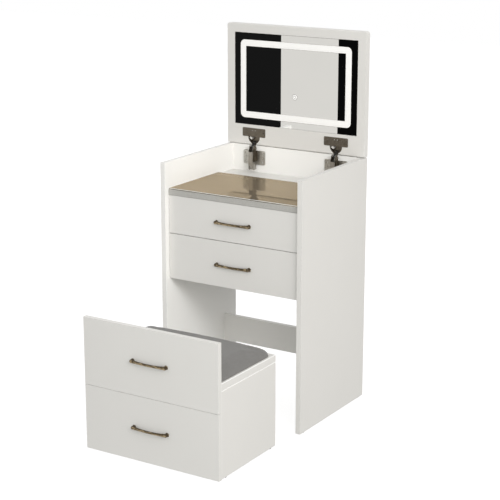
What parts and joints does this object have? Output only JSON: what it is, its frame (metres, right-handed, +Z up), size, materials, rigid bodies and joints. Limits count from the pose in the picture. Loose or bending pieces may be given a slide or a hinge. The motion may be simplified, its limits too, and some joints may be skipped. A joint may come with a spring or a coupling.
{
  "type": "vanity table",
  "caption": "Narrow flip-top vanity table with a light-banded mirror in its lid, drawers, and a padded stool whose drawer-look front closes the knee space.",
  "frame": {"origin": "on the floor under the centre of the overall box, with the lid open and the stool pulled out", "axes": "+Z up, the front of the table and of the stool towards -Y, +X to the right seen from the front"},
  "size_m": [0.5, 0.8355, 1.171],
  "materials": {
    "white_board": "white lacquered board, satin",
    "drawer_board": "white foil on board",
    "desk_glass": "bronze reflective glass",
    "grey_edging": "fine-grained grey edging",
    "mirror": "polished",
    "frosted_light": "frosted, lit from behind",
    "led": "strip of white light emitters",
    "driver": "circuit board",
    "dark_metal": "dark nickel plate",
    "zinc": "zinc plated",
    "white_plastic": "moulded",
    "grey_plastic": "moulded",
    "bronze": "antique bronze",
    "seat_fabric": "plain woven grey cloth"
  },
  "bodies": {
    "cabinet": {"left_side_panel": "white_board", "right_side_panel": "white_board", "back_panel": "white_board", "desk_board": "white_board", "desk_glass": "desk_glass", "desk_edge_trim": "grey_edging", "rear_stretcher": "white_board", "cabinet_glides": "grey_plastic", "cabinet_cam_locks": "zinc", "cabinet_cam_bolts": "zinc", "hinge_plates": "zinc", "left_hinge_arm": "dark_metal", "right_hinge_arm": "dark_metal", "hinge_plate_screws": "zinc", "hinge_arm_pins": "zinc", "upper_runner_channels": "zinc", "lower_runner_channels": "zinc", "runner_screws": "zinc"},
    "outer_links": {"hinge_outer_links": "dark_metal"},
    "inner_links": {"hinge_inner_links": "dark_metal"},
    "lid": {"lid_board": "white_board", "mirror_glass": "mirror", "frosted_light_band": "frosted_light", "led_strip": "led", "touch_switch": "frosted_light", "led_driver": "driver", "charging_inlet": "grey_plastic", "left_hinge_cup": "dark_metal", "right_hinge_cup": "dark_metal", "hinge_dampers": "white_plastic", "hinge_cup_screws": "zinc", "hinge_cup_pins": "zinc"},
    "upper_mid": {"upper_mid_runners": "zinc"},
    "lower_mid": {"lower_mid_runners": "zinc"},
    "upper_drawer": {"upper_drawer_front": "white_board", "upper_drawer_left_side": "drawer_board", "upper_drawer_right_side": "drawer_board", "upper_drawer_back": "drawer_board", "upper_drawer_bottom": "drawer_board", "upper_drawer_runners": "zinc", "upper_drawer_handle": "bronze", "upper_drawer_screws": "zinc"},
    "lower_drawer": {"lower_drawer_front": "white_board", "lower_drawer_left_side": "drawer_board", "lower_drawer_right_side": "drawer_board", "lower_drawer_back": "drawer_board", "lower_drawer_bottom": "drawer_board", "lower_drawer_runners": "zinc", "lower_drawer_handle": "bronze", "lower_drawer_screws": "zinc"},
    "stool": {"stool_upper_front": "white_board", "stool_lower_front": "white_board", "stool_left_side": "white_board", "stool_right_side": "white_board", "stool_back": "white_board", "stool_seat_board": "white_board", "seat_cushion": "seat_fabric", "stool_handles": "bronze", "stool_screws": "zinc", "stool_glides": "grey_plastic"}
  },
  "joints": [
    {"name": "outer_link_swing", "type": "hinge", "parent": "cabinet", "child": "outer_links", "pos_m": [0, 0.39425, 0.7735], "axis": [1, 0, 0], "range_deg": [0, 9]},
    {"name": "lid_tilt", "type": "hinge", "parent": "outer_links", "child": "lid", "pos_m": [0, 0.40468, 0.79152], "axis": [1, 0, 0], "range_deg": [0, 81]},
    {"name": "inner_link_swing", "type": "hinge", "parent": "cabinet", "child": "inner_links", "pos_m": [0, 0.38338, 0.77983], "axis": [1, 0, 0], "range_deg": [-11.51, 0]},
    {"name": "upper_drawer_slide", "type": "slide", "parent": "cabinet", "child": "upper_drawer", "axis": [0, -1, 0], "range_m": [0, 0.27]},
    {"name": "upper_mid_slide", "type": "slide", "parent": "cabinet", "child": "upper_mid", "axis": [0, -1, 0], "range_m": [0, 0.135]},
    {"name": "lower_drawer_slide", "type": "slide", "parent": "cabinet", "child": "lower_drawer", "axis": [0, -1, 0], "range_m": [0, 0.27]},
    {"name": "lower_mid_slide", "type": "slide", "parent": "cabinet", "child": "lower_mid", "axis": [0, -1, 0], "range_m": [0, 0.135]},
    {"name": "stool_slide", "type": "slide", "parent": "cabinet", "child": "stool", "axis": [0, 1, 0], "range_m": [0, 0.436]}
  ],
  "couplings": [
    {"joint": "outer_link_swing", "follows": "lid_tilt", "ratio": 0.11111},
    {"joint": "inner_link_swing", "follows": "lid_tilt", "ratio": -0.14209},
    {"joint": "upper_mid_slide", "follows": "upper_drawer_slide", "ratio": 0.5},
    {"joint": "lower_mid_slide", "follows": "lower_drawer_slide", "ratio": 0.5}
  ]
}
